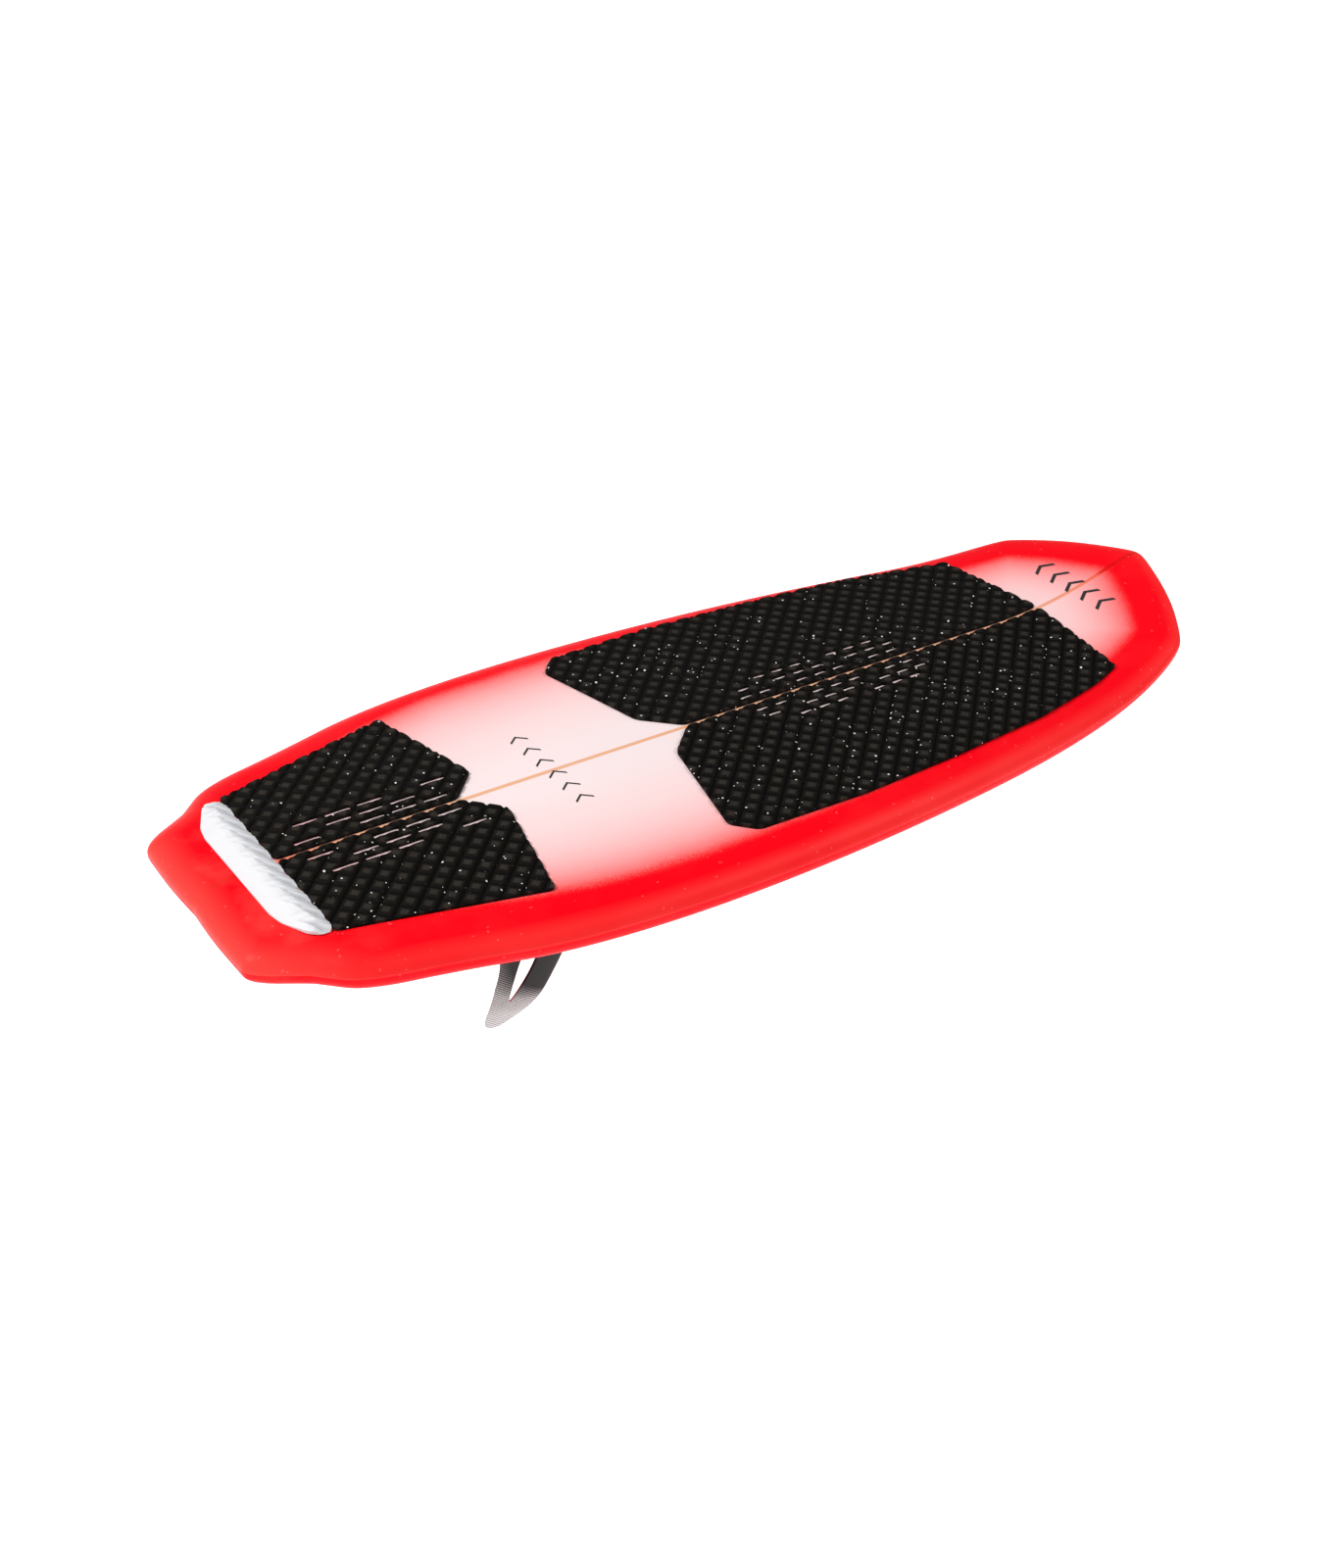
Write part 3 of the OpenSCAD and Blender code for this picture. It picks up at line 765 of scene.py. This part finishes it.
def kick_piece():
    xs, ys = np.linspace(0.046, 0.104, 59), np.linspace(-0.150, 0.150, 301)
    x, y = np.meshgrid(xs, ys, indexing="ij")
    base = deck_z(x, np.abs(y)) + GLUE
    flat = float(deck_mid_z(np.array(0.080)))
    rise = np.interp(x, [0.046, 0.052, 0.070, 0.077, 0.082, 0.104],
                     [0.001, 0.003, KICK_H - 0.0020, KICK_H, KICK_H - 0.0004, 0.0030])
    # the crest is scalloped: lobes that overlap like shingles, each with a rounded end
    s = (y + 1.3 * (x - 0.080)) / 0.033
    part = s - np.floor(s)
    lobe = np.sin(math.pi * part ** 0.62)
    fold = np.clip(1 - np.minimum(part, (1 - part) * 2.5) / 0.16, 0, 1) ** 1.2
    start = 0.0655 + 0.0110 * (1 - lobe)
    reach = np.clip((x - start) / 0.009, 0, 1)
    reach = reach * reach * (3 - 2 * reach)
    t = (y + 0.4 * (x - 0.080)) / 0.011
    small = 1 - np.abs(np.sin(math.pi * t))
    # the back and the ends are feathered down to the deck
    back = np.minimum(x - 0.0525, (0.150 - np.abs(y)) * 0.85)
    back = np.minimum(back, (x - 0.0525 - 0.30 * (np.abs(y) - 0.084)) * 0.85)
    rise = np.minimum(rise, 0.0008 + np.clip(back, 0, 1) * 0.66)
    top_z = flat + rise - reach * (0.0034 * (1 - lobe) + 0.0030 * fold + 0.0010 * small)
    top_z = np.maximum(top_z, base + 0.0008)
    ob = closed_sheet("scalloped_kick", x, y, top_z, base, turn=True)
    att = ob.data.attributes.new("fold", "FLOAT", "POINT")
    # painted shade: darker in the folds and all down the front of the crest, which faces away from
    # the key lamp
    shade = reach * (0.14 * (1 - lobe) + 1.5 * fold * np.clip(1 - (x - 0.070) / 0.014, 0.2, 1)
                     + 0.16 * small)
    shade = (shade + 0.34 * np.clip((x - 0.078) / 0.020, 0, 1)).ravel()
    att.data.foreach_set("value", np.concatenate([shade, shade * 0]).astype(np.float32))
    face_outwards(ob)
    shape = anticlockwise(rounded(np.array(KICK_PLAN) - (HALF_LEN, 0), KICK_CORNER))
    cut(ob, prism("plan", shape, CUT_LO, CUT_HI), "INTERSECT")
    smooth_by_angle(ob, 40)
    coat(ob, KICK)
    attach(ob, "board"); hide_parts("tail_kick")


kick_piece()

# ---- fins ----------------------------------------------------------------------------
WINDOW = np.array([(-0.043, -0.088), (-0.034, -0.058), (-0.024, -0.030), (-0.015, -0.008),
                   (0.005, -0.008), (0.002, -0.030), (-0.012, -0.056), (-0.032, -0.080)])
FOIL_X = [0, 0.004, 0.012, 0.03, 0.06, 0.1, 0.17, 0.25, 0.35, 0.45, 0.56, 0.68, 0.78, 0.87, 0.94,
          0.98, 1]
FOIL_Y = np.interp(FOIL_X, [0, 0.004, 0.012, 0.03, 0.1, 0.25, 0.45, 0.68, 0.87, 0.98, 1],
                   [0.06, 0.20, 0.33, 0.5, 0.78, 1, 0.96, 0.7, 0.4, 0.18, 0.08])
FIN_ROOT = 0.00005       # gap between a fin and the hull bottom
TAB_AT, TAB_HALF, TAB_CORNER = 0.027, 0.013, 0.0012
TAB_LO, TAB_HI = -0.0003, 0.014


def fin_piece(word, side):
    tip = 0.9 + 0.1 * np.sin(np.linspace(0, math.pi / 2, 14))
    d = np.concatenate([np.linspace(0, 0.9, 40), tip[1:]])
    lead = FIN_BASE / 2 - 0.064 * d ** 1.2 - 0.040 * d ** 14
    trail = (-FIN_BASE / 2 + 0.003 * np.sin(math.pi * np.minimum(1, 1.9 * d)) - 0.030 * d ** 3
             + 0.020 * d ** 18)
    t = FIN_T * (1 - 0.62 * d) / 2
    z = -FIN_ROOT - d * (FIN_DEPTH - FIN_ROOT)
    fx = np.array(FOIL_X + FOIL_X[::-1])
    fy = np.concatenate([FOIL_Y, -FOIL_Y[::-1]])
    ring = np.stack([lead[:, None] + (trail - lead)[:, None] * fx, t[:, None] * fy,
                     np.repeat(z[:, None], len(fx), 1)], -1)
    n, m = ring.shape[:2]
    faces = grid_faces(n, m, wrap=True)
    faces += [tuple(range(m)), tuple(range((n - 1) * m, n * m))[::-1]]
    ob = add_mesh("window_fin_" + word, ring.reshape(-1, 3), faces)
    face_outwards(ob)
    loop = anticlockwise(curve_through(WINDOW, 10, closed=True))
    tool = prism("window", loop, -0.02, 0.02)
    settle(tool, Matrix.Rotation(math.pi / 2, 4, "X"))
    cut(ob, tool)
    for e in (-1, 1):
        x0, x1 = e * TAB_AT - TAB_HALF, e * TAB_AT + TAB_HALF
        y0 = FIN_T / 2
        edge = rounded([(x0, -y0), (x1, -y0), (x1, y0), (x0, y0)], TAB_CORNER, 3)
        cut(ob, prism("tab", anticlockwise(edge), TAB_LO, TAB_HI), "UNION")
    settle(ob, fin_frame(side))
    smooth_by_angle(ob, 40)
    coat(ob, FIN)
    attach(ob, "fin_" + word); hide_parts("fin_" + word)


fin_piece("left", 1)
fin_piece("right", -1)

# ---- plain marks in place of the printed ones ----------------------------------------
MARK_LIFT = 0.00035


def mark(name, polys, x0, y0):
    """Thin vinyl shapes laid on the deck; polys are outlines round (x0, y0)."""
    bm = bmesh.new()
    for poly in polys:
        vs = [bm.verts.new((x0 + px, y0 + py, 0)) for px, py in poly]
        bm.faces.new(vs)
    bmesh.ops.triangulate(bm, faces=bm.faces)
    bmesh.ops.subdivide_edges(bm, edges=[e for e in bm.edges if e.calc_length() > 0.006], cuts=3,
                              use_grid_fill=True)
    pts = np.array([v.co for v in bm.verts])
    zs = deck_z(pts[:, 0], np.abs(pts[:, 1]))
    for v, z in zip(bm.verts, zs):
        v.co = (v.co.x - HALF_LEN, v.co.y, z + MARK_LIFT)
    me = bpy.data.meshes.new(name)
    bm.to_mesh(me)
    bm.free()
    ob = bpy.data.objects.new(name, me)
    bpy.context.scene.collection.objects.link(ob)
    ob.data.materials.append(VINYL)
    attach(ob, "board")


def chevrons(count, pitch, tall, stroke):
    """A row of open chevrons, two slanted strokes each."""
    out, rise = [], pitch * 0.35
    for k in range(count):
        c = (k - (count - 1) / 2) * pitch
        for e in (-tall, tall):
            leg = [(0, c + rise), (e, c), (e, c + stroke), (0, c + rise + stroke)]
            out.append(anticlockwise(leg))
    return out


mark("mark_middle", chevrons(6, 0.030, 0.012, 0.0035), 0.460, 0.0)
mark("mark_nose", chevrons(5, 0.030, 0.016, 0.006), 1.305, 0.0)

# ---- the CAD nodes that stay ---------------------------------------------------------
KEEP = {"core_left": foam_core_material(), "stringer": timber_material(),
        "fin_box_left": BOX, "fin_box_right": BOX}
KEEP["core_right"] = KEEP["core_left"]
for name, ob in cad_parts.items():
    mat = STEEL if name.startswith("fin_screw") else KEEP.get(name)
    if mat:
        coat(ob, mat)

# ---- floor, light --------------------------------------------------------------------
FLOOR_DROP, FLOOR_HALF = 0.55, 30
floor_z = CAD_LO[2] - FLOOR_DROP
floor = add_mesh("floor", [(-FLOOR_HALF, -FLOOR_HALF, floor_z), (FLOOR_HALF, -FLOOR_HALF, floor_z),
                           (FLOOR_HALF, FLOOR_HALF, floor_z), (-FLOOR_HALF, FLOOR_HALF, floor_z)],
                 [(0, 1, 2, 3)])
fm = Mat("floor", Roughness=0.9)
fm.colour(fm.mix(fm.ranged(fm.noise(3), 0, 1), (0.93, 0.93, 0.93), (0.96, 0.96, 0.96)))
fm.b.inputs["Emission Color"].default_value = (1, 1, 1, 1)
fm.b.inputs["Emission Strength"].default_value = 0.72
floor.data.materials.append(fm.m)

world = bpy.data.worlds.new("studio")
world.use_nodes = True
world.node_tree.nodes["Background"].inputs[0].default_value = (1, 1, 1, 1)
world.node_tree.nodes["Background"].inputs[1].default_value = 0.35
bpy.context.scene.world = world


def lamp(name, at, to, size, watts):
    li = bpy.data.lights.new(name, "AREA")
    li.shape, li.size, li.energy = "DISK", size, watts
    ob = bpy.data.objects.new(name, li)
    ob.location = at
    ob.rotation_mode = "QUATERNION"
    ob.rotation_quaternion = (Vector(to) - Vector(at)).to_track_quat("-Z", "Y")
    bpy.context.scene.collection.objects.link(ob)


lamp("key", (-3.2, 0.8, 3.6), (0.1, 0, 0), 1.9, 166)
lamp("fill", (2.2, -1.9, 3.0), (0.3, 0, 0), 2.0, 54)
bpy.context.scene.view_settings.view_transform = "Standard"
